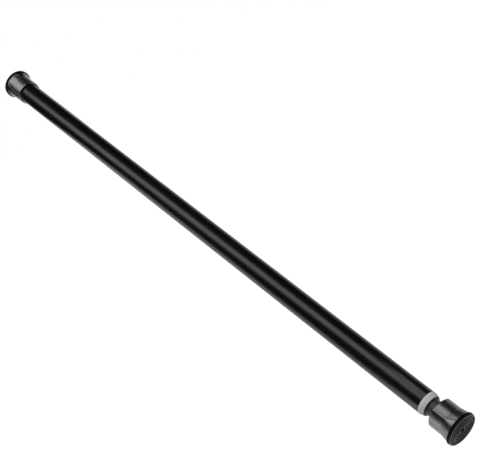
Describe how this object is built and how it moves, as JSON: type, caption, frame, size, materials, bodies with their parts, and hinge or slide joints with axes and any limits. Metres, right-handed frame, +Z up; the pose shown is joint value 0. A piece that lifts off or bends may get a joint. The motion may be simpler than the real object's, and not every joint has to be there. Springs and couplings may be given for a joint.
{
  "type": "spring tension rod",
  "caption": "Telescoping curtain rod with four-sided, flared feet and ringed rubber pads, held between two walls by an inner spring and a twist lock.",
  "frame": {"origin": "middle of the fixed foot's wall face, on the rod's axis", "axes": "+X along the rod, from the fixed foot to the sliding foot; +Z up; the rod is closed to its shortest length"},
  "size_m": [0.385, 0.0186, 0.0186],
  "materials": {
    "tube_paint": "gloss black paint on steel tube",
    "inner_paint": "satin dark coating on steel tube",
    "foot_plastic": "semi-gloss black moulded plastic",
    "pad_rubber": "matte black rubber",
    "pale_nylon": "matte pale grey nylon",
    "bright_steel": "zinc plated steel",
    "spring_steel": "drawn spring wire",
    "nut_brass": "turned brass"
  },
  "bodies": {
    "outer": {"outer_tube": "tube_paint", "mouth_bush": "pale_nylon", "outer_foot": "foot_plastic", "outer_pad": "pad_rubber"},
    "guide": {"guide_ring": "pale_nylon"},
    "inner": {"inner_tube": "inner_paint", "inner_foot": "foot_plastic", "inner_pad": "pad_rubber", "drive_plug": "pale_nylon", "tension_spring": "spring_steel", "spring_stop": "pale_nylon"},
    "core": {"spindle": "bright_steel", "spring_seat": "bright_steel", "seat_clip": "bright_steel", "thrust_washer": "bright_steel", "end_nut": "bright_steel"},
    "sleeve": {"expander_sleeve": "pale_nylon", "grip_ring": "pad_rubber"},
    "cone": {"cone_nut": "nut_brass"}
  },
  "joints": [
    {"name": "telescope", "type": "slide", "parent": "outer", "child": "guide", "axis": [1, 0, 0], "range_m": [0, 0.275]},
    {"name": "twist", "type": "hinge", "parent": "guide", "child": "inner", "pos_m": [0.07, 0, 0], "axis": [1, 0, 0], "range_deg": [0, 540]},
    {"name": "spring_press", "type": "slide", "parent": "inner", "child": "core", "axis": [1, 0, 0], "range_m": [0, 0.02], "stiffness_N_per_m": 1500, "springref_m": -0.003, "deforming": ["tension_spring"]},
    {"name": "sleeve_turn", "type": "hinge", "parent": "core", "child": "sleeve", "pos_m": [0.03, 0, 0], "axis": [1, 0, 0], "range_deg": [-540, 0]},
    {"name": "cone_draw", "type": "slide", "parent": "sleeve", "child": "cone", "axis": [1, 0, 0], "range_m": [0, 0.0015]}
  ],
  "couplings": [
    {"joint": "sleeve_turn", "follows": "twist", "ratio": -1},
    {"joint": "cone_draw", "follows": "twist", "m_per_rad": 0.00015915}
  ]
}
